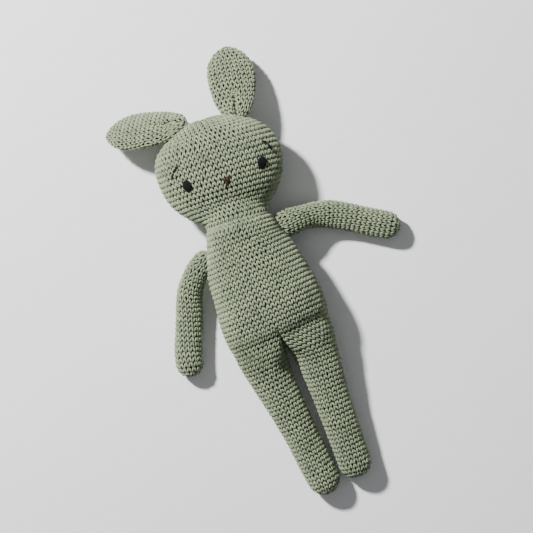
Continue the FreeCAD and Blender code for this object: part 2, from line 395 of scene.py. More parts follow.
@dataclass
class Form:
    """The outside of one stuffed piece: rings of evenly spaced points, from its start to its end."""

    rings: np.ndarray

    def __post_init__(self) -> None:
        """Spaces the points evenly, keeps them off the floor and works out how far along each ring lies."""
        rings = np.array([self._even(ring) for ring in self.rings])
        low = rings[..., 2]
        rings[..., 2] = FLOOR_CLEAR + np.logaddexp(0.0, (low - FLOOR_CLEAR) * FLOOR_SOFTNESS) / FLOOR_SOFTNESS
        rings += self._lumps(rings)
        self.rings = rings
        steps = np.linalg.norm(np.diff(rings, axis=0), axis=2).mean(axis=1)
        self.along = np.concatenate([[0.0], np.cumsum(steps)])
        around = np.roll(rings, -1, axis=1) - np.roll(rings, 1, axis=1)
        onward = np.gradient(rings, axis=0)
        normals = unit(np.cross(around, onward))
        outward = rings - rings.mean(axis=1, keepdims=True)
        if (normals * outward).sum() < 0:
            normals = -normals
        self.normals = normals
        self.girth = np.linalg.norm(np.roll(rings, -1, axis=1) - rings, axis=2).sum(axis=1)

    @staticmethod
    def _even(ring: np.ndarray) -> np.ndarray:
        """Spaces a ring's points.

        Args:
            ring: the ring's points.

        Returns:
            Points on the same ring, at equal steps round it.
        """
        closed = np.vstack([ring, ring[:1]])
        steps = np.linalg.norm(np.diff(closed, axis=0), axis=1)
        place = np.concatenate([[0.0], np.cumsum(steps)])
        wanted = np.arange(AROUND) * place[-1] / AROUND
        return np.stack([np.interp(wanted, place, closed[:, k]) for k in range(3)], axis=1)

    @staticmethod
    def _lumps(rings: np.ndarray) -> np.ndarray:
        """Small uneven swellings, as hand-stuffed fabric has.

        Args:
            rings: the form's points.

        Returns:
            How far each point moves.
        """
        x, y, z = (rings[..., k] / LUMP_SPACING for k in range(3))
        swell = np.sin(x * 1.1 + 0.7 * np.sin(y)) + np.sin(y * 1.3 + 1.9 + z) * np.cos(z * 0.9 - x)
        centre = rings.mean(axis=1, keepdims=True)
        return unit(rings - centre) * (LUMP_HEIGHT * swell)[..., None]

    def sample(self, along: np.ndarray, around: np.ndarray, height: np.ndarray) -> np.ndarray:
        """Points on or above the form.

        Args:
            along: distance from the start, in millimetres.
            around: turns round the ring, from the back.
            height: distance out from the form, in millimetres.

        Returns:
            The points, in millimetres.
        """
        v = np.interp(along, self.along, np.arange(len(self.along)))
        i = np.minimum(v.astype(int), len(self.rings) - 2)
        t = (v - i)[..., None]
        u = (around % 1.0) * AROUND
        j = u.astype(int) % AROUND
        s = (u - np.floor(u))[..., None]
        k = (j + 1) % AROUND

        def blended(field_: np.ndarray) -> np.ndarray:
            """A grid's value between its four nearest points."""
            near = field_[i, j] * (1 - s) + field_[i, k] * s
            far = field_[i + 1, j] * (1 - s) + field_[i + 1, k] * s
            return near * (1 - t) + far * t

        return blended(self.rings) + unit(blended(self.normals)) * height[..., None]


@dataclass(frozen=True)
class Stitch:
    """One single-crochet stitch: two plump strands that rise out of the round below and part like a V."""

    width: float = 3.17
    pitch: float = 3.3
    sides: int = 6
    wrap: float = 0.75
    # The next two values set the painted crevice shade: full below the first height, and fading out over the
    # second.
    painted_shade_bottom: float = -0.75
    relief: float = 1.35
    path: tuple = (
        (0.07, -0.66, -1.20, 0.40),
        (0.13, -0.41, 0.10, 0.56),
        (0.24, -0.05, 0.58, 0.66),
        (0.35, 0.28, 0.36, 0.61),
        (0.45, 0.56, -1.05, 0.41),
    )

    def strand(self, side: float) -> tuple[np.ndarray, np.ndarray]:
        """Rings of points along one strand.

        Args:
            side: -1 for the left strand, +1 for the right.

        Returns:
            The points, in stitch widths, rounds and millimetres; and each point's distance along and around
            the strand, in millimetres.
        """
        size = np.array([self.width, self.pitch, 1.0])
        rows = np.array(self.path)
        middle = rows[:, :3] * size * np.array([side, 1.0, 1.0])
        run = unit(np.gradient(middle, axis=0))
        across = unit(np.stack([run[:, 1], -run[:, 0], np.zeros(len(run))], axis=1))
        out = np.cross(across, run)
        out *= np.sign(out[:, 2:3] + 1e-9)
        angle = 2 * np.pi * np.arange(self.sides) / self.sides
        offset = (
            np.cos(angle)[None, :, None] * across[:, None, :] + np.sin(angle)[None, :, None] * out[:, None, :]
        )
        points = middle[:, None, :] + offset * rows[:, 3][:, None, None]
        gone = np.concatenate([[0.0], np.cumsum(np.linalg.norm(np.diff(middle, axis=0), axis=1))])
        wound = np.stack(
            [np.repeat(gone[:, None], self.sides, 1), np.tile(angle * self.wrap, (len(rows), 1))], axis=2
        )
        return (points / size).reshape(-1, 3), wound.reshape(-1, 2)

    def template(self) -> tuple[np.ndarray, np.ndarray, list[list[int]], list[list[tuple[float, float]]]]:
        """The whole stitch.

        Returns:
            Its points, their places on the yarn, its faces, and each face corner's place in a unit square.
        """
        points, wound, faces, squares = [], [], [], []
        count, n = len(self.path), self.sides
        for half, side in enumerate((-1.0, 1.0)):
            strand, places = self.strand(side)
            base = half * count * n
            points.append(strand)
            wound.append(places)
            for ring in range(count - 1):
                for k in range(n):
                    a, b = base + ring * n + k, base + ring * n + (k + 1) % n
                    face = [a, b, b + n, a + n]
                    u0, u1 = (half + k / n) / 2, (half + (k + 1) / n) / 2
                    v0, v1 = ring / (count - 1), (ring + 1) / (count - 1)
                    corners = [(u0, v0), (u1, v0), (u1, v1), (u0, v1)]
                    faces.append(face if side < 0 else face[::-1])
                    squares.append(corners if side < 0 else corners[::-1])
            for start, flip in ((base, side < 0), (base + (count - 1) * n, side > 0)):
                cap = [start + k for k in range(n)]
                faces.append(cap[::-1] if flip else cap)
                # The caps are hidden, so they share a speck of the sheet.
                speck = [(half / 2 + 0.01 * math.cos(k), 0.01 + 0.005 * math.sin(k)) for k in range(n)]
                squares.append(speck)
        return np.vstack(points), np.vstack(wound), faces, squares


def build_mesh(name: str, points: np.ndarray, faces: list, attributes: dict, maps: dict) -> bpy.types.Object:
    """Makes an object from arrays.

    Args:
        name: the piece's name.
        points: points in millimetres.
        faces: groups of equal-sided faces, each an array of corner numbers.
        attributes: name to one number for each point.
        maps: UV map name to the place of each face corner, in the order of faces.

    Returns:
        The object, smooth shaded.
    """
    mesh = bpy.data.meshes.new(name)
    mesh.vertices.add(len(points))
    mesh.vertices.foreach_set("co", (points * MM).astype(np.float32).ravel())
    corners = np.concatenate([group.ravel() for group in faces])
    sizes = np.concatenate([np.full(len(group), group.shape[1]) for group in faces])
    starts = np.concatenate([[0], np.cumsum(sizes)[:-1]])
    mesh.loops.add(len(corners))
    mesh.loops.foreach_set("vertex_index", corners.astype(np.int32))
    mesh.polygons.add(len(sizes))
    mesh.polygons.foreach_set("loop_start", starts.astype(np.int32))
    mesh.polygons.foreach_set("use_smooth", np.ones(len(sizes), bool))
    mesh.update(calc_edges=True)
    for key, values in attributes.items():
        mesh.attributes.new(key, "FLOAT", "POINT").data.foreach_set("value", values.astype(np.float32))
    for key, places in maps.items():
        mesh.uv_layers.new(name=key).data.foreach_set("uv", places.astype(np.float32).ravel())
    mesh.validate()
    piece = bpy.data.objects.new(name, mesh)
    bpy.context.scene.collection.objects.link(piece)
    return piece


def skin(form: Form, lines: int, insets: np.ndarray) -> tuple[np.ndarray, list[np.ndarray], np.ndarray]:
    """A smooth closed surface inside a form.

    Args:
        form: the form.
        lines: number of rings of points.
        insets: how deep each ring lies under the form, in millimetres.

    Returns:
        Its points, its faces and each face corner's place in a unit square.
    """
    columns = BACK_COLUMNS
    along = np.repeat(np.linspace(0.0, form.along[-1], lines)[:, None], columns, 1)
    around = np.tile(np.arange(columns) / columns, (lines, 1))
    grid = form.sample(along, around, -np.repeat(insets[:, None], columns, 1))
    points = np.vstack([grid.reshape(-1, 3), grid[0].mean(axis=0), grid[-1].mean(axis=0)])
    middle = lines // 2
    outward = grid[middle] - grid[middle].mean(axis=0)
    round_way = np.roll(grid[middle], -1, axis=0) - grid[middle]
    flip = (np.cross(round_way, grid[middle + 1] - grid[middle]) * outward).sum() < 0
    walls, ends, wall_places, end_places = [], [], [], []
    for j in range(columns):
        k, u0, u1 = (j + 1) % columns, j / columns, (j + 1) / columns
        for i in range(lines - 1):
            face = [i * columns + j, i * columns + k, (i + 1) * columns + k, (i + 1) * columns + j]
            low, high = (i + 1) / (lines + 1), (i + 2) / (lines + 1)
            square = [(u0, low), (u1, low), (u1, high), (u0, high)]
            walls.append(face[::-1] if flip else face)
            wall_places.extend(square[::-1] if flip else square)
        last = (lines - 1) * columns
        for face, square in (
            ([lines * columns, k, j], [(u0, 0.0), (u1, 1 / (lines + 1)), (u0, 1 / (lines + 1))]),
            ([last + j, last + k, lines * columns + 1], [(u0, 0.99), (u1, 0.99), (u1, 1.0)]),
        ):
            ends.append(face[::-1] if flip else face)
            end_places.extend(square[::-1] if flip else square)
    return points, [np.array(walls), np.array(ends)], np.array(wall_places + end_places)


def stuffing(name: str, form: Form) -> bpy.types.Object:
    """The filling that a cover's form is stuffed with.

    Args:
        name: the piece's name.
        form: the cover's form.

    Returns:
        The filling.
    """
    lines = max(12, round(form.along[-1] / STUFFING_STEP))
    points, faces, places = skin(form, lines, np.full(lines, STUFFING_DEPTH))
    return build_mesh(name, points, faces, {}, {"OFBake": places})


@dataclass
class Crochet:
    """A cover worked in rounds over a form: every stitch, and the backs that close it behind them."""

    name: str
    form: Form
    row: float
    start: float = 0.0
    seed: int = 1
    growth: Growth = Growth.FORWARD
    stitch: Stitch = field(default_factory=Stitch)
    fewest: int = 5
    misfit: float = 0.045
    drift: float = 0.09
    turn_spread: float = 0.07
    shift_spread: float = 0.035
    plump_spread: float = 0.07
    tone_spread: float = 0.2
    back_inset: float = 0.95
    back_tone: float = 0.4
    back_yarn_mm: float = 40.0
    hidden_inset: float = 1.6
    hidden_from: float = 3.0
    atlas_share: float = 0.94
    atlas_gutter: float = 0.04

    def rounds(self) -> list[tuple[float, int, float]]:
        """Lays out the rounds.

        Returns:
            For each round, its place along the form, its number of stitches and its sideways drift.
        """
        length = self.form.along[-1] - self.start
        count = max(3, round(length / self.row))
        rounds, number, drift = [], 0, 0.0
        for k in range(count):
            place = self.start + (k + 0.5) * length / count
            girth = float(np.interp(place, self.form.along, self.form.girth))
            wanted = max(float(self.fewest), girth / self.stitch.width)
            if not number or abs(wanted / number - 1.0) > self.misfit:
                number = max(self.fewest, round(wanted))
            drift += self.drift
            rounds.append((place, number, drift))
        return rounds

    def build(self) -> bpy.types.Object:
        """Works the cover.

        Returns:
            The finished mesh object.
        """
        rng = np.random.default_rng(self.seed)
        rounds = self.rounds()
        pitch = (self.form.along[-1] - self.start) / len(rounds)
        template, wound, faces, squares = self.stitch.template()
        if self.growth is Growth.BACKWARD:
            template = template * np.array([-1.0, -1.0, 1.0])
        places = [
            (place, (i + 0.5 + drift) / number, 1.0 / number)
            for place, number, drift in rounds
            for i in range(number)
        ]
        along, around, cell = (np.array(column) for column in zip(*places))
        count = len(along)
        girth = np.interp(along, self.form.along, self.form.girth)
        snug = np.clip(girth * cell / self.stitch.width, 0.6, 1.15)
        turn = rng.normal(0.0, self.turn_spread, count)
        shift = rng.normal(0.0, self.shift_spread, (count, 2))
        plump = rng.normal(1.0, self.plump_spread, count)
        x = template[None, :, 0] + shift[:, :1] - template[None, :, 1] * turn[:, None]
        y = template[None, :, 1] + shift[:, 1:] + template[None, :, 0] * turn[:, None]
        z = template[None, :, 2] * (plump * (0.5 + 0.5 * snug))[:, None]
        onward = np.clip(along[:, None] + y * pitch, 0.0, self.form.along[-1])
        raised = self.form.sample(onward, around[:, None] + x * cell[:, None], z)
        lines = len(rounds) + 1
        hidden = np.linspace(0.0, self.form.along[-1], lines) < self.start - self.hidden_from
        insets = self.back_inset + self.hidden_inset * hidden
        backing, back_faces, back_places = skin(self.form, lines, insets)
        # Painted shade: the depth attribute is low at each strand's low ends, where it dives into the fabric,
        # so those ends are painted darker.
        height = (template[:, 2] - self.stitch.painted_shade_bottom) / self.stitch.relief
        depth = np.tile(np.clip(height, 0.0, 1.0), count)
        tone = np.repeat(np.clip(rng.normal(0.5, self.tone_spread, count), 0.0, 1.0), len(template))
        points = np.vstack([raised.reshape(-1, 3), backing])
        quads = np.array([face for face in faces if len(face) == 4])
        caps = np.array([face for face in faces if len(face) > 4])
        steps = (np.arange(count) * len(template))[:, None, None]
        groups = [
            (quads[None] + steps).reshape(-1, quads.shape[1]),
            (caps[None] + steps).reshape(-1, caps.shape[1]),
            *(group + count * len(template) for group in back_faces),
        ]
        bake = self._atlas(count, squares, faces)
        yarn = [np.tile(wound[group].reshape(-1, 2), (count, 1)) for group in (quads, caps)]
        maps = {
            "Yarn": np.vstack([*yarn, back_places * self.back_yarn_mm]),
            "OFBake": np.vstack([*bake, back_places * np.array([1.0, 1.0 - self.atlas_share - 0.01])]),
        }
        attributes = {
            # The backing gets depth 0, so it is painted wholly in the crevice colour, as a dark sheet in
            # place of the shade between the stitches.
            "depth": np.concatenate([depth, np.zeros(len(backing))]),
            "tone": np.concatenate([tone, np.full(len(backing), self.back_tone)]),
        }
        return build_mesh(self.name, points, groups, attributes, maps)

    def _atlas(self, count: int, squares: list, faces: list) -> list[np.ndarray]:
        """A place of its own for every stitch on one flat sheet.

        Args:
            count: number of stitches.
            squares: each face corner's place in a unit square.
            faces: the stitch's faces.

        Returns:
            The corners' places, for the four-sided faces and then the caps.
        """
        columns = math.ceil(math.sqrt(count))
        lines = math.ceil(count / columns)
        size = np.array([1.0 / columns, self.atlas_share / lines])
        number = np.arange(count)
        corner = np.stack([number % columns, number // columns], axis=1) * size
        corner[:, 1] += 1.0 - self.atlas_share
        out = []
        for wanted in (4, self.stitch.sides):
            chosen = [square for square, face in zip(squares, faces) if len(face) == wanted]
            inner = self.atlas_gutter + np.array(chosen).reshape(1, -1, 2) * (1.0 - 2.0 * self.atlas_gutter)
            out.append((corner[:, None, :] + inner * size).reshape(-1, 2))
        return out


# ---------------------------------------------------------------- threads


def select_none() -> None:
    """Leaves object mode with nothing selected."""
    if bpy.context.object and bpy.context.object.mode != "OBJECT":
        bpy.ops.object.mode_set(mode="OBJECT")
    bpy.ops.object.select_all(action="DESELECT")


@dataclass(frozen=True)
class Thread:
    """One short stitch of thread: plump in its middle, thin and turned down where it goes into the fabric."""

    radius: float = 0.45
    length: float = 6.0
    arch: float = 0.35
    sides: int = 8
    cuts: int = 5
    thin: float = 0.2
    dip: float = 2.2

    def build(self, name: str) -> bpy.types.Object:
        """Models the stitch, lying along X with its arch upwards.

        Args:
            name: the object's name.

        Returns:
            The stitch.
        """
        select_none()
        bpy.ops.mesh.primitive_cylinder_add(
            vertices=self.sides, radius=self.radius * MM, depth=self.length * MM,
            rotation=(0.0, math.pi / 2, 0.0),
        )
        piece = bpy.context.object
        piece.name = name
        bpy.ops.object.transform_apply(location=False, rotation=True, scale=False)
        bpy.ops.object.mode_set(mode="EDIT")
        bpy.ops.mesh.select_mode(type="EDGE")
        bpy.ops.mesh.select_all(action="DESELECT")
        mesh = bmesh.from_edit_mesh(piece.data)
        for edge in mesh.edges:
            edge.select = abs(edge.verts[0].co.x - edge.verts[1].co.x) > self.length * MM / 2
        bmesh.update_edit_mesh(piece.data)
        bpy.ops.mesh.subdivide(number_cuts=self.cuts)
        bpy.ops.mesh.select_mode(type="VERT")
        half = self.length / 2
        for step in range(self.cuts + 2):
            place = -half + step * self.length / (self.cuts + 1)
            share = place / half
            size = max(1.0 - share**4, 0.0) ** 0.5 * (1.0 - self.thin) + self.thin
            self._ring(piece, place)
            bpy.ops.transform.resize(value=(1.0, size, size), center_override=(place * MM, 0.0, 0.0))
            bpy.ops.transform.translate(value=(0.0, 0.0, self.arch * (1.0 - self.dip * share**2) * MM))
        bpy.ops.object.mode_set(mode="OBJECT")
        bpy.ops.object.modifier_add(type="SUBSURF")
        bpy.ops.object.modifier_apply(modifier=piece.modifiers[-1].name)
        bpy.ops.object.shade_smooth()
        return piece

    @staticmethod
    def _ring(piece: bpy.types.Object, place: float) -> None:
        """Selects one ring of the stitch's points.

        Args:
            piece: the stitch, in edit mode.
            place: where the ring lies along X, in millimetres.
        """
        mesh = bmesh.from_edit_mesh(piece.data)
        for point in mesh.verts:
            point.select = abs(point.co.x - place * MM) < 0.02 * MM
        mesh.select_flush_mode()
        bmesh.update_edit_mesh(piece.data)


def sew(name: str, thread: Thread, stitches: list) -> bpy.types.Object:
    """Lays copies of one stitch in place and joins them.

    Args:
        name: the piece's name.
        thread: the stitch to copy.
        stitches: for each copy, its start, its end and the direction that its arch faces, in millimetres.

    Returns:
        The joined piece.
    """
    master = thread.build(name)
    copies = []
    for start, end, out in stitches:
        run = np.asarray(end, float) - np.asarray(start, float)
        along = unit(run)
        across = unit(np.cross(out, along))
        up = np.cross(along, across)
        stretch = np.linalg.norm(run) / thread.length
        place = Matrix.Identity(4)
        for column, vector in enumerate((along * stretch, across, up, (start + end) / 2 * MM)):
            place.col[column][:3] = vector
        copy = bpy.data.objects.new(f"{name}.{len(copies)}", master.data.copy())
        copy.data.transform(place)
        bpy.context.scene.collection.objects.link(copy)
        copies.append(copy)
    bpy.data.objects.remove(master)
    select_none()
    for copy in copies:
        copy.select_set(True)
    bpy.context.view_layer.objects.active = copies[0]
    bpy.ops.object.join()
    piece = bpy.context.object
    piece.name = name
    return piece


def whip(centre: np.ndarray, axis: np.ndarray, radius: float, count: int, length: float, lean: float) -> list:
    """Whip stitches round a seam.

    Args:
        centre: middle of the seam's circle.
        axis: direction that the circle faces.
        radius: the circle's radius.
        count: number of stitches.
        length: length of one stitch across the seam.
        lean: how far each stitch leans along the seam.

    Returns:
        Each stitch's start, end and outward direction.
    """
    side = unit(np.cross(axis, SEAM_START))
    other = np.cross(axis, side)
    stitches = []
    for k in range(count):
        angle = 2 * math.pi * k / count
        out = side * math.cos(angle) + other * math.sin(angle)
        along = np.cross(axis, out)
        middle = centre + out * radius
        half = axis * length / 2 + along * lean / 2
        stitches.append((middle - half, middle + half, out))
    return stitches


# ---------------------------------------------------------------- the doll's pieces


@dataclass
class Trunk:
    """The trunk's cover, worked upwards from the hips to the neck, with the seam that holds the head."""

    levels: tuple = (-38.0, -30.0, -18.0, 0.0, 15.0, 28.0, 39.0, 43.5)
    sections: tuple = (
        (-2.0, 33.6, 22.0, 19.5),
        (-1.3, 35.2, 24.6, 23.4),
        (-0.7, 35.7, 26.2, 26.6),
        (-0.1, 33.8, 26.4, 27.0),
        (0.0, 31.4, 26.8, 26.0),
        (0.3, 27.2, 28.2, 24.4),
        (2.0, 23.4, 29.8, 23.2),
        (2.5, 21.9, 30.0, 21.9),
    )
    hem: float = -28.0
    tuck: float = 5.0
    top: float = 46.2
    lean: float = 0.125
    lean_from: tuple = (22.0, 44.0)
    gather: float = 1.6
    gather_over: tuple = (-5.0, 1.0)
    row: float = 3.25
    cuts: int = 60
    proud: float = 1.2

    def section(self, level: float) -> tuple[float, float, float, float]:
        """The trunk's cross-section.

        Args:
            level: place along Y, in millimetres.

        Returns:
            The middle's X, the half width, the middle's Z and the half depth, at the roots of the stitches.
        """
        x, wide, z, deep = spline(list(self.levels), list(self.sections), np.array([level]))[0]
        return x, wide - self.proud, z, deep - self.proud

    def form(self) -> Form:
        """Shapes the stuffed trunk.

        Returns:
            The trunk's outside, from inside the hips to the neck.
        """
        rings = []
        low, high = (self.top + step for step in self.gather_over)
        for level in np.linspace(self.hem - self.tuck, self.top, self.cuts):
            x, wide, z, deep = self.section(level)
            tucked = self.gather * float(smoothstep(low, high, level))
            sideways = (wide - tucked) * np.cos(ANGLES)
            height = level - sideways * self.lean * float(smoothstep(*self.lean_from, level))
            rings.append(np.stack([x + sideways, height, z + (deep - tucked) * np.sin(ANGLES)], axis=1))
        return Form(np.array(rings))

    def build(self) -> bpy.types.Object:
        """Works the cover."""
        return Crochet("trunk_fabric", self.form(), row=self.row, start=self.tuck, seed=11).build()


@dataclass
class Head:
    """The head's cover: a wide ball on a round neck, leaning a little to the doll's left."""

    pivot: tuple = (2.5, 45.0, 30.0)
    neck: float = 21.5
    tilt: float = 6.2
    rise: float = 38.0
    half_width: float = 41.5
    half_height: float = 35.2
    half_depth: float = 27.0
    outline: tuple = (
        (-36.0, 16.0), (-34.0, 22.0), (-31.0, 26.4), (-28.5, 29.2), (-25.5, 31.9), (-20.5, 36.0),
        (-12.0, 40.2), (-3.0, 42.0), (3.0, 42.1), (8.0, 41.3), (13.2, 39.4), (17.9, 36.2),
        (22.2, 31.0), (26.0, 24.8), (28.8, 18.6), (30.6, 12.0), (31.5, 6.0), (31.9, 1.2),
    )
    crown_lean: float = 0.05
    crease: float = 1.1
    crease_at: float = 1.2
    crease_width: float = 1.5
    stalk: tuple = (-9.0, 3.0)
    lift_over: tuple = (2.0, 16.0)
    joint_softness: float = 1.3
    row: float = 3.4
    cuts: int = 90
    proud: float = 1.2

    def axes(self) -> tuple[np.ndarray, np.ndarray, np.ndarray]:
        """Works out how the head is turned.

        Returns:
            Its own right, up and front directions.
        """
        tilt = math.radians(self.tilt)
        up = np.array([math.sin(tilt), math.cos(tilt), 0.0])
        right = np.array([math.cos(tilt), -math.sin(tilt), 0.0])
        return right, up, np.array([0.0, 0.0, 1.0])

    def middle(self) -> np.ndarray:
        """The middle of the head's ball."""
        _, up, front = self.axes()
        return np.array(self.pivot) + up * self.rise + front * (self.half_depth - self.pivot[2])

    def face_point(self, across: float, rise: float) -> tuple[np.ndarray, np.ndarray]:
        """A place on the face.

        Args:
            across: distance to the doll's left of the head's middle.
            rise: distance above the head's middle.

        Returns:
            The point on the fabric's outside, and the outward direction there.
        """
        right, up, front = self.axes()
        x, y = across / self.half_width, rise / self.half_height
        z = math.sqrt(1.0 - x * x - y * y)
        point = self.middle() + right * across + up * rise + front * z * self.half_depth
        slope = right * x / self.half_width + up * y / self.half_height + front * z / self.half_depth
        return point, unit(slope)

    def form(self) -> Form:
        """Shapes the stuffed head.

        Returns:
            The head's outside, from inside the trunk up to the crown.
        """
        right, up, front = self.axes()
        across, above = np.cos(ANGLES), np.sin(ANGLES)
        places, sizes = zip(*self.outline)
        (low, high), top = self.stalk, self.rise + places[-1] - self.proud * 0.7
        sweep = np.linspace(0.0, 1.0, self.cuts)
        upper = high + (top - high) * np.sin(sweep[1:] * np.pi / 2)
        levels = np.concatenate([low + (high - low) * sweep[::6], upper])
        rings = []
        for level in levels:
            neck = max((self.neck - self.proud) ** 2 - level**2, 1.0) ** 0.5
            wide = float(spline(places, sizes, np.array([level - self.rise]))[0, 0])
            deep = wide * self.half_depth / self.half_width
            if level - self.rise < places[0]:
                wide = deep = 1.0
            share = float(smoothstep(*self.lift_over, level))
            lift = (self.pivot[2] - self.half_depth) * (1.0 - share)
            ball = reach(across, above, (0.0, lift), max(wide - self.proud, 0.6), max(deep - self.proud, 0.6))
            stalk = reach(across, above, (0.0, lift + self.half_depth - self.pivot[2]), neck, neck)
            size = ball if level > self.rise else self._joined(stalk, ball)
            size = size - self.crease * math.exp(-(((level - self.crease_at) / self.crease_width) ** 2))
            centre = np.array(self.pivot) + up * level + front * (self.half_depth + lift - self.pivot[2])
            centre = centre - right * self.crown_lean * max(level - self.rise, 0.0)
            rings.append(centre + np.outer(across * size, right) + np.outer(above * size, front))
        return Form(np.array(rings))

    def _joined(self, neck: np.ndarray, ball: np.ndarray) -> np.ndarray:
        """The neck's radius or the ball's, whichever is larger, with a soft crease between them."""
        return self.joint_softness * np.logaddexp(neck / self.joint_softness, ball / self.joint_softness)

    def build(self) -> bpy.types.Object:
        """Works the cover."""
        return Crochet("head_fabric", self.form(), row=self.row, seed=23).build()


@dataclass
class Arm:
    """One arm's cover: a curved tube worked from the hand up to the shoulder, where it is sewn on."""

    side: Side
    line: tuple
    radii: tuple
    row: float
    flare: float
    flare_reach: float = 16.0
    root_length: float = 1.25
    width: float = 3.1
    proud: float = 1.2
    cuts: int = 90

    def form(self) -> Form:
        """Shapes the stuffed arm.

        Returns:
            The arm's outside, from inside the trunk to the tip of the hand.
        """
        knots = np.arange(len(self.line), dtype=float)
        at = np.linspace(0, knots[-1], self.cuts)
        points = spline(list(knots), list(self.line), at)
        radii = spline(list(knots), list(self.radii), at)[:, 0] - self.proud
        runs = unit(np.gradient(points, axis=0))
        stations = []
        for out, wide in dome(-85, -12, 8):
            depth = radii[0] * self.root_length * out
            stations.append((points[0] + runs[0] * depth, runs[0], radii[0] * wide, self.flare))
        gone = np.concatenate([[0.0], np.cumsum(np.linalg.norm(np.diff(points, axis=0), axis=1))])
        widths = 1.0 + (self.flare - 1.0) * (1.0 - smoothstep(0.0, self.flare_reach, gone))
        stations += list(zip(points, runs, radii, widths))
        for out, wide in dome(8, 87, 14):
            tip = points[-1] + runs[-1] * radii[-1] * out
            stations.append((tip, runs[-1], radii[-1] * wide, 1.0))
        rings = []
        for centre, run, radius, width in stations:
            across = unit(np.cross(run, [0.0, 0.0, 1.0]))
            above = np.cross(across, run)
            sideways = np.outer(np.cos(ANGLES) * width, across)
            rings.append(centre + radius * (sideways + np.outer(np.sin(ANGLES), above)))
        return Form(np.array(rings))

    def build(self) -> bpy.types.Object:
        """Works the cover."""
        return Crochet(
            f"{self.side.value}_arm_fabric", self.form(), row=self.row, seed=self.side.pick(31, 37),
            growth=Growth.BACKWARD, stitch=Stitch(width=self.width),
        ).build()


@dataclass
class Leg:
    """One leg's cover, worked in one with the trunk: half of the hips, then a round tube to the toe."""

    side: Side
    hip: tuple
    foot: tuple
    trunk: Trunk
    top: float = -28.0
    tuck: float = 4.0
    parting: float = -2.4
    gap: float = 6.0
    round_over: tuple = (30.0, 58.0)
    gap_over: tuple = (42.0, 56.0)
    lowest_section: float = -34.0
    wall_softness: float = 1.5
    # Farther than any wall, for the directions that don't meet the parting.
    open_side: float = 200.0
    row: float = 3.1
    cuts: int = 70
    profile: tuple = ((0.0, 16.0), (18.0, 14.3), (38.0, 12.6), (58.0, 11.7), (90.0, 11.3))
    proud: float = 1.2

    def form(self) -> Form:
        """Shapes the stuffed leg.

        Returns:
            The leg's outside, from the trunk's hem to the toe.
        """
        hip, foot = np.array(self.hip), np.array(self.foot)
        axis = unit(foot - hip)
        sideways = unit(np.cross([0.0, 0.0, 1.0], -axis))
        sideways = sideways * np.sign(sideways[0])
        upwards = np.cross(sideways, -axis)
        tilted = (sideways, upwards * np.sign(upwards[2]))
        rings = []
        for level in np.linspace(self.top + self.tuck, foot[1], self.cuts):
            share = float(smoothstep(*self.round_over, -level))
            centre = hip + axis * (level - hip[1]) / axis[1]
            rings.append(self._ring(centre, share, tilted))
        size = self.profile[-1][1] - self.proud
        ring = np.outer(np.cos(ANGLES), tilted[0]) + np.outer(np.sin(ANGLES), tilted[1])
        for out, wide in dome(7, 87, 14):
            rings.append(foot + axis * size * out + size * wide * ring)
        return Form(np.array(rings))

    def _ring(self, centre: np.ndarray, share: float, tilted: tuple) -> np.ndarray:
        """One ring of the leg.

        Args:
            centre: the ring's middle.
            share: 0 where the ring is half of the hips, 1 where it is round.
            tilted: the leg's own sideways and upward directions.

        Returns:
            The ring's points.
        """
        x, wide, z, deep = self.trunk.section(max(centre[1], self.lowest_section))
        across, above = np.cos(ANGLES), np.sin(ANGLES)
        hips = reach(across, above, (centre[0] - x, centre[2] - z), wide, deep)
        inward = -self.side.sign * across
        room = abs(centre[0] - self.parting) - self.gap / 2 * float(smoothstep(*self.gap_over, -centre[1]))
        wall = np.where(inward > 0.02, room / np.maximum(inward, 0.02), self.open_side)
        half = -self.wall_softness * np.logaddexp(-hips / self.wall_softness, -wall / self.wall_softness)
        distance = np.linalg.norm(centre - np.array(self.hip)) * np.sign(self.hip[1] - centre[1])
        round_size = spline(*zip(*self.profile), np.array([max(distance, 0.0)]))[0, 0] - self.proud
        size = half * (1 - share) + round_size * share
        sideways = unit(np.array([1.0, 0.0, 0.0]) * (1 - share) + tilted[0] * share)
        upwards = unit(np.array([0.0, 0.0, 1.0]) * (1 - share) + tilted[1] * share)
        return centre + np.outer(size * across, sideways) + np.outer(size * above, upwards)

    def build(self) -> bpy.types.Object:
        """Works the cover."""
        return Crochet(
            f"{self.side.value}_leg_fabric", self.form(), row=self.row, start=self.tuck,
            seed=self.side.pick(41, 43), growth=Growth.BACKWARD,
        ).build()


@dataclass
class Hip:
    """The ball of fabric inside one hip, which fills the opening when the leg bends."""

    side: Side
    middle: tuple
    radius: float = 12.9
    row: float = 3.1
    cuts: int = 40

    def form(self) -> Form:
        """Shapes the ball.

        Returns:
            The ball, with its poles towards the head and the foot.
        """
        ring = np.stack([np.cos(ANGLES), np.zeros(AROUND), np.sin(ANGLES)], axis=1)
        rings = []
        for out, wide in dome(-86, 86, self.cuts):
            rise = np.array([0.0, self.radius * out, 0.0])
            rings.append(np.array(self.middle) + rise + ring * self.radius * wide)
        return Form(np.array(rings))

    def build(self) -> bpy.types.Object:
        """Works the ball."""
        name = f"{self.side.value}_hip_fabric"
        return Crochet(name, self.form(), row=self.row, seed=self.side.pick(61, 67)).build()


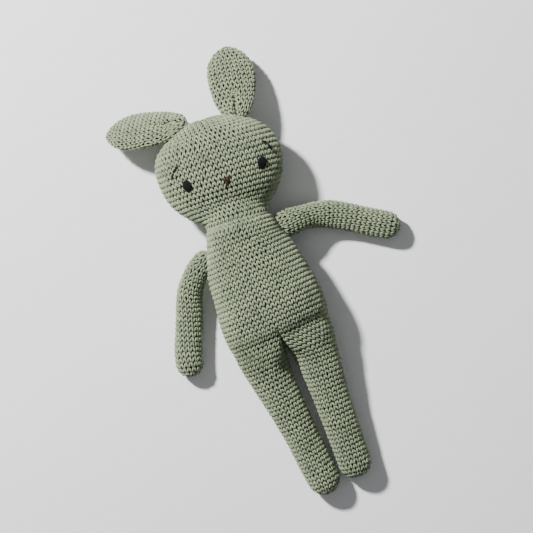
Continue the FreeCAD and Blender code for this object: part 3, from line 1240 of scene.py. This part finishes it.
@dataclass
class Ear:
    """One ear's cover: a flat leaf, gathered at its root."""

    side: Side
    root: tuple
    tip: tuple
    twist: float
    reach: float
    outline: tuple = (
        (-8.5, 2.4), (-6.0, 6.8), (0.0, 11.2), (7.6, 14.0), (15.0, 15.3), (23.0, 15.9),
        (29.0, 15.8), (35.0, 14.6), (40.0, 12.2), (44.0, 8.8), (46.8, 5.0), (48.2, 1.6),
    )
    half_width: float = 15.8
    half_depth: float = 5.6
    root_depth: float = 5.0
    proud: float = 1.1
    tuck_depth: float = 3.6
    tuck_width: float = 1.7
    tuck_reach: float = 17.0
    thin_over: tuple = (4.0, 26.0)
    thinnest: float = 0.5
    row: float = 3.0
    cuts: int = 90

    def axes(self) -> tuple[np.ndarray, np.ndarray, np.ndarray]:
        """Works out how the ear lies.

        Returns:
            Its own width, length and face directions.
        """
        along = unit(np.array(self.tip) - np.array(self.root))
        level = unit(np.cross(along, [0.0, 0.0, 1.0]))
        rising = np.cross(level, along)
        angle = math.radians(self.twist)
        width = level * math.cos(angle) - rising * math.sin(angle)
        return width, along, np.cross(width, along)

    def form(self) -> Form:
        """Shapes the ear.

        Returns:
            The ear's outside, from inside the head to the tip.
        """
        width, along, face = self.axes()
        places = [place * (self.reach if place > 0 else 1.0) for place, _ in self.outline]
        sweep = (1.0 - np.cos(np.linspace(0.0, 1.0, self.cuts) * np.pi)) / 2
        at = places[0] + (places[-1] - places[0]) * sweep
        sizes = spline(places, [size for _, size in self.outline], at)[:, 0]
        rings = []
        for place, size in zip(at, sizes):
            wide = max(size - self.proud, self.thinnest)
            rootward = float(1.0 - smoothstep(*self.thin_over, place))
            deep = max(size * self.half_depth / self.half_width, self.root_depth * rootward)
            deep = max(min(deep, size) - self.proud, self.thinnest)
            sideways, up = wide * np.cos(ANGLES), deep * np.sin(ANGLES)
            fold = float(1.0 - smoothstep(self.thin_over[0], self.tuck_reach, place)) * self.tuck_depth
            up = up - fold * np.exp(-((sideways / self.tuck_width) ** 2)) * (np.sin(ANGLES) > 0)
            centre = np.array(self.root) + along * place
            rings.append(centre + np.outer(sideways, width) + np.outer(up, face))
        return Form(np.array(rings))

    def build(self) -> bpy.types.Object:
        """Works the cover."""
        return Crochet(
            f"{self.side.value}_ear_fabric", self.form(), row=self.row, seed=self.side.pick(53, 59),
            growth=Growth.BACKWARD, stitch=Stitch(width=self.row),
        ).build()


@dataclass
class Face:
    """The embroidered face: padded satin-stitch eyes, a two-stitch brow over each, and a crossed nose."""

    head: Head
    eye_spread: float = 24.9
    eye_rise: float = -7.6
    eye_half: tuple = (2.7, 4.2)
    eye_lean: tuple = (0.25, 0.05)
    pads: int = 5
    pad_reach: float = 0.62
    pad_width: float = 0.8
    pad_lift: float = 0.2
    satins: int = 11
    satin_reach: float = 0.93
    satin_over: float = 0.25
    satin_lift: tuple = (0.55, 0.35)
    middle: float = 1.4
    left_brow: tuple = ((28.8, 5.6), (32.0, 3.6), (33.2, -2.2))
    right_brow: tuple = ((26.2, 6.4), (31.2, 3.6), (33.0, -0.6))
    brow_gap: float = 0.6
    brow_lift: float = 0.85
    brow_strands: tuple = (-0.28, 0.28)
    nose_strands: tuple = (-0.36, 0.36)
    nose_rise: float = -12.2
    nose_lift: tuple = (0.75, 0.5)
    nose_strokes: tuple = (((-3.0, 2.6), (2.9, -2.9)), ((2.4, 2.9), (-1.4, -3.3)))

    def place(self, across: float, rise: float, lift: float) -> tuple[np.ndarray, np.ndarray]:
        """A place for the end of a stitch.

        Args:
            across: distance to the doll's left of the face's middle.
            rise: distance above the head's middle.
            lift: height above the fabric.

        Returns:
            The point, and the outward direction there.
        """
        point, out = self.head.face_point(self.middle + across, rise)
        return point + out * lift, out

    def build(self, black: bpy.types.Material, brown: bpy.types.Material) -> None:
        """Embroiders the face.

        Args:
            black: floss for the eyes and brows.
            brown: floss for the nose.
        """
        for side in Side:
            self._eye(side, black)
            self._brow(side, black)
        self._nose(brown)

    def _eye(self, side: Side, floss: bpy.types.Material) -> None:
        """Embroiders one eye: a layer of crosswise padding under close upright stitches.

        Args:
            side: which eye.
            floss: its material.
        """
        wide, high = self.eye_half
        centre = side.sign * self.eye_spread
        out = self.place(centre, self.eye_rise, 0.0)[1]
        stitches = []
        for rise in np.linspace(-self.pad_reach, self.pad_reach, self.pads):
            width = wide * self.pad_width * math.sqrt(1.0 - rise**2)
            level = self.eye_rise + rise * high
            ends = [self.place(centre + x, level, self.pad_lift)[0] for x in (-width, width)]
            stitches.append((*ends, out))
        lean = side.sign * side.pick(*self.eye_lean)
        for step in np.linspace(-self.satin_reach, self.satin_reach, self.satins):
            tall = high * math.sqrt(1.0 - step**2) + self.satin_over
            lift = self.satin_lift[0] + self.satin_lift[1] * (1.0 - step**2)
            ends = [
                self.place(centre + step * wide + lean * y, self.eye_rise + y, lift)[0] for y in (tall, -tall)
            ]
            stitches.append((*ends, out))
        piece = sew(f"{side.value}_eye_satin_stitch", Thread(radius=0.42, length=8.0, arch=0.35), stitches)
        finish_piece(piece, floss, "head", "black_floss", f"{side.value}_eye")

    def _brow(self, side: Side, floss: bpy.types.Material) -> None:
        """Embroiders one brow: two straight stitches that meet at its turn.

        Args:
            side: which brow.
            floss: its material.
        """
        inner, turn, outer = (np.array(point) for point in side.pick(self.left_brow, self.right_brow))
        gap = unit(outer - turn) * self.brow_gap
        for name, start, end in (("inner", inner, turn), ("outer", turn + gap, outer)):
            stitches = []
            for offset in self.brow_strands:
                aside = self._aside(start, end) * offset
                spots = (start + aside, end + aside)
                ends = [self.place(side.sign * x, y, self.brow_lift) for x, y in spots]
                stitches.append((ends[0][0], ends[1][0], ends[0][1]))
            thread = Thread(radius=0.36, length=5.0, arch=0.2)
            piece = sew(f"{side.value}_brow_{name}_thread", thread, stitches)
            finish_piece(piece, floss, "head", "black_floss", f"{side.value}_brow_{name}_stitch")

    def _nose(self, floss: bpy.types.Material) -> None:
        """Embroiders the nose: two strokes of two threads, one across the other.

        Args:
            floss: its material.
        """
        stitches = []
        for layer, (start, end) in enumerate(self.nose_strokes):
            slope = self._aside(np.array(start), np.array(end))
            lift = self.nose_lift[0] + self.nose_lift[1] * layer
            for offset in self.nose_strands:
                spots = np.array([start, end]) + slope * offset
                ends = [self.place(across, self.nose_rise + rise, lift) for across, rise in spots]
                stitches.append((ends[0][0], ends[1][0], ends[0][1]))
        piece = sew("nose_cross_stitch", Thread(radius=0.42, length=7.0, arch=0.3), stitches)
        finish_piece(piece, floss, "head", "brown_floss", "nose")

    @staticmethod
    def _aside(start: np.ndarray, end: np.ndarray) -> np.ndarray:
        """The direction across a stitch, in the plane of the face."""
        return unit(end - start) @ np.array([[0.0, -1.0], [1.0, 0.0]])


def finish_piece(
    piece: bpy.types.Object, material: bpy.types.Material, body: str, slot: str, *nodes: str
) -> None:
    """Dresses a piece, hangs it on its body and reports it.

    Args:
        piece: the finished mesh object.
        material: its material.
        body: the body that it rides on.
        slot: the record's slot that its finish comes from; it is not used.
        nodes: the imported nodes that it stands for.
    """
    piece.data.materials.clear()
    piece.data.materials.append(material)
    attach(piece, body)
    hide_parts(*nodes)
    log.info("%s: %d faces, rides on %s", piece.name, len(piece.data.polygons), body)


@dataclass
class Seams:
    """The sewing: whip stitches round the neck, the shoulders and the ears, and the tuck in each ear."""

    head: Head
    neck: Thread = Thread(radius=0.42, length=3.2, arch=0.3)
    limb: Thread = Thread(radius=0.5, length=3.4, arch=0.3)
    neck_count: int = 44
    neck_inset: float = 0.9
    neck_rise: float = 1.6
    neck_length: float = 3.2
    arm_count: int = 16
    arm_inset: float = 0.6
    arm_length: float = 3.0
    ear_count: int = 14
    ear_half: tuple = (9.0, 4.6)
    ear_reach: float = 1.7
    ear_rise: float = 0.6
    lean: float = 1.2
    tuck_at: float = 9.0
    tuck_half: float = 2.6
    tuck_height: float = 3.3
    tuck_apart: float = 0.7

    def build(self, arms: dict, ears: dict, yarn: bpy.types.Material) -> None:
        """Sews the doll together.

        Args:
            arms: the arm on each side.
            ears: the ear on each side.
            yarn: the sewing yarn's material.
        """
        _, up, _ = self.head.axes()
        middle, radius = np.array(self.head.pivot) + up * self.neck_rise, self.head.neck - self.neck_inset
        stitches = whip(middle, up, radius, self.neck_count, self.neck_length, self.lean)
        piece = sew("neck_whip_stitches", self.neck, stitches)
        finish_piece(piece, yarn, "trunk", "sewing_yarn", "neck_seam")
        for side in Side:
            arm, ear = arms[side], ears[side]
            shoulder = np.array(arm.line[0])
            run = unit(np.array(arm.line[1]) - shoulder)
            radius = arm.radii[0] - self.arm_inset
            stitches = whip(shoulder + run, run, radius, self.arm_count, self.arm_length, self.lean)
            piece = sew(f"{side.value}_arm_whip_stitches", self.limb, stitches)
            finish_piece(piece, yarn, "trunk", "sewing_yarn", f"{side.value}_arm_seam")
            self._ear(side, ear, yarn)

    def _ear(self, side: Side, ear: Ear, yarn: bpy.types.Material) -> None:
        """Sews one ear on, and folds its root with a tuck.

        Args:
            side: which ear.
            ear: the ear.
            yarn: the sewing yarn's material.
        """
        width, along, face = ear.axes()
        root = np.array(ear.root)
        stitches = []
        wide, deep = self.ear_half
        for k in range(self.ear_count):
            angle = 2 * math.pi * k / self.ear_count
            out = width * math.cos(angle) + face * math.sin(angle)
            middle = root + width * wide * math.cos(angle) + face * deep * math.sin(angle)
            middle = middle + along * self.ear_rise
            half = along * self.ear_reach + np.cross(along, out) * self.lean / 2
            stitches.append((middle - half, middle + half, out))
        piece = sew(f"{side.value}_ear_whip_stitches", self.limb, stitches)
        finish_piece(piece, yarn, "head", "sewing_yarn", f"{side.value}_ear_seam")
        stitches = []
        for rise in (-self.tuck_apart, self.tuck_apart):
            middle = root + along * (self.tuck_at + rise) + face * self.tuck_height
            stitches.append((middle - width * self.tuck_half, middle + width * self.tuck_half, face))
        piece = sew(f"{side.value}_ear_tuck_stitches", self.limb, stitches)
        finish_piece(piece, yarn, f"{side.value}_ear", "sewing_yarn", f"{side.value}_ear_tuck")


@dataclass
class Doll:
    """The whole doll: covers, seams, embroidery, and the filling inside."""

    left_arm: tuple = (
        (30.3, 30.6, 24.0), (40.5, 30.0, 18.4), (50.5, 28.2, 13.2), (61.0, 23.9, 10.2),
        (71.5, 17.2, 9.4), (82.0, 9.6, 9.4), (91.6, 2.6, 9.4),
    )
    right_arm: tuple = (
        (-28.6, 29.8, 24.0), (-36.6, 24.2, 17.8), (-46.0, 14.0, 12.4), (-52.6, 0.6, 9.8),
        (-58.4, -11.6, 9.4), (-62.4, -20.4, 9.4), (-64.8, -28.0, 9.4),
    )
    left_radii: tuple = (7.6, 8.4, 9.0, 9.4, 9.6, 9.7, 9.6)
    right_radii: tuple = (6.6, 7.8, 8.8, 9.3, 9.6, 9.7, 9.6)
    padding: float = 0.85
    bend_above: float = 13.0
    bend_below: float = 15.0

    def build(self) -> None:
        """Makes every piece."""
        yarn = CottonYarn().material()
        black = EmbroideryFloss("black_stranded_cotton", "030304", "09090A").material()
        brown = EmbroideryFloss("brown_stranded_cotton", "2A130A", "3C2012").material()
        trunk, head = Trunk(), Head()
        arms = {
            Side.LEFT: Arm(Side.LEFT, self.left_arm, self.left_radii, row=3.3, flare=1.32),
            Side.RIGHT: Arm(Side.RIGHT, self.right_arm, self.right_radii, row=3.35, flare=1.12),
        }
        legs = {
            Side.LEFT: Leg(Side.LEFT, (15.5, -44.0, 20.0), (8.3, -131.4, 11.6), trunk),
            Side.RIGHT: Leg(Side.RIGHT, (-19.5, -44.0, 20.0), (-14.7, -133.6, 11.6), trunk),
        }
        ears = {
            Side.LEFT: Ear(Side.LEFT, (31.5, 112.6, 27.0), (42.3, 153.0, 9.5), 0.0, 0.955),
            Side.RIGHT: Ear(Side.RIGHT, (-10.0, 118.3, 27.0), (-52.0, 131.6, 12.5), 42.0, 1.0),
        }
        Face(head).build(black, brown)
        Seams(head).build(arms, ears, CottonYarn(name="sewing_cotton", has_stitches=False).material())
        self._insides()
        self._cover(trunk, yarn, "trunk")
        self._cover(head, yarn, "head")
        for side in Side:
            self._cover(arms[side], yarn, f"{side.value}_arm")
            self._cover(ears[side], yarn, f"{side.value}_ear")
            self._cover(Hip(side, legs[side].hip), yarn, f"{side.value}_hip")
            self._leg(legs[side], yarn)

    def _cover(self, part: Trunk | Head | Arm | Ear | Hip, yarn: bpy.types.Material, body: str) -> None:
        """Works, dresses and stuffs one cover that moves with a single body.

        Args:
            part: the piece of the doll.
            yarn: the crochet yarn's material.
            body: the body that it rides on, which its nodes are named for.
        """
        piece = part.build()
        node = f"{body}_filling" if isinstance(part, Hip) else f"{body}_cover"
        finish_piece(piece, yarn, body, "crochet_cotton", node)
        filling = stuffing(f"{body}_stuffing", part.form())
        finish_piece(filling, bpy.data.materials[PolyesterFilling.name], body, "stuffing", f"{body}_filling")

    @staticmethod
    def _insides() -> None:
        """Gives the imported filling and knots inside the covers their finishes."""
        filling = PolyesterFilling().material()
        knot = CottonYarn(name="knotted_cotton", has_stitches=False).material()
        for name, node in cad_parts.items():
            if "filling" in name or "knot" in name:
                node.data.materials.clear()
                node.data.materials.append(knot if "knot" in name else filling)

    def _leg(self, leg: Leg, yarn: bpy.types.Material) -> None:
        """Works, dresses and stuffs one leg.

        Args:
            leg: the leg.
            yarn: the crochet yarn's material.
        """
        side = leg.side.value
        piece = leg.build()
        piece.data.materials.append(yarn)
        filling = stuffing(f"{side}_leg_stuffing", leg.form())
        filling.data.materials.append(bpy.data.materials[PolyesterFilling.name])
        for soft, node, slot in ((piece, "cover", "crochet_cotton"), (filling, "filling", "stuffing")):
            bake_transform(soft)
            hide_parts(f"{side}_leg_{node}")
            log.info("%s: %d faces, bends at the %s hip", soft.name, len(soft.data.polygons), side)


# ---------------------------------------------------------------- the setting


@dataclass
class Studio:
    """A pale board, a soft low key light, a fill from above, and the camera looking straight down."""

    target: tuple = (7.7, 9.9, 30.0)
    distance: float = 1250.0
    turn: float = 24.0
    lens: float = 129.4
    sensor: float = 36.0
    board_size: float = 3.0
    key_direction: tuple = (-0.405, 0.903, 1.0)
    key_distance: float = 1.5
    key_size: float = 0.14
    key_watts: float = 52.0
    fill_height: float = 1.6
    fill_size: float = 1.8
    fill_watts: float = 3.5
    sky: str = "E9EDF2"
    sky_strength: float = 0.13

    def build(self) -> None:
        """Sets the stage."""
        self._board()
        self._lights()
        self._camera()

    def _board(self) -> None:
        """The board that the doll lies on."""
        select_none()
        bpy.ops.mesh.primitive_plane_add(size=self.board_size, location=(0.0, 0.0, 0.0))
        board = bpy.context.object
        board.name = "painted_board"
        board.data.materials.append(PaintedBoard().material())

    def _lights(self) -> None:
        """A key light from beyond the doll's right ear and a weak even fill."""
        away = Vector(self.key_direction).normalized()
        self._lamp("key", self.key_size, self.key_watts, away, self.key_distance)
        self._lamp("fill", self.fill_size, self.fill_watts, Vector((0.0, 0.0, 1.0)), self.fill_height)
        world = bpy.data.worlds.new("studio")
        world.use_nodes = True
        sky = world.node_tree.nodes["Background"].inputs
        sky["Color"].default_value = srgb(self.sky)
        sky["Strength"].default_value = self.sky_strength
        bpy.context.scene.world = world

    @staticmethod
    def _lamp(name: str, size: float, watts: float, away: Vector, distance: float) -> None:
        """Hangs one round lamp, facing the doll.

        Args:
            name: the lamp's name.
            size: its width, in metres.
            watts: its power.
            away: direction from the doll to the lamp.
            distance: how far away it is, in metres.
        """
        light = bpy.data.lights.new(name, "AREA")
        light.shape, light.size, light.energy = "DISK", size, watts
        lamp = bpy.data.objects.new(name, light)
        lamp.location = away * distance
        lamp.rotation_euler = away.to_track_quat("Z", "Y").to_euler()
        bpy.context.scene.collection.objects.link(lamp)

    def _camera(self) -> None:
        """The camera, looking down with the doll turned a little on the board."""
        camera = bpy.data.cameras.new("camera")
        camera.lens, camera.sensor_width = self.lens, self.sensor
        turn = math.radians(self.turn)
        right = Vector((math.cos(turn), -math.sin(turn), 0.0))
        up = Vector((math.sin(turn), math.cos(turn), 0.0))
        view = Matrix((right, up, Vector((0.0, 0.0, 1.0)))).transposed().to_4x4()
        view.translation = Vector(self.target) * MM + Vector((0.0, 0.0, self.distance * MM))
        stand = bpy.data.objects.new("camera", camera)
        stand.matrix_world = view
        bpy.context.scene.collection.objects.link(stand)
        bpy.context.scene.camera = stand


def main() -> None:
    """Builds the doll and its setting."""
    logging.basicConfig(level=logging.INFO, format="%(message)s")
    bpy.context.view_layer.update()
    Studio().build()
    Doll().build()


if __name__ == "__main__":
    main()
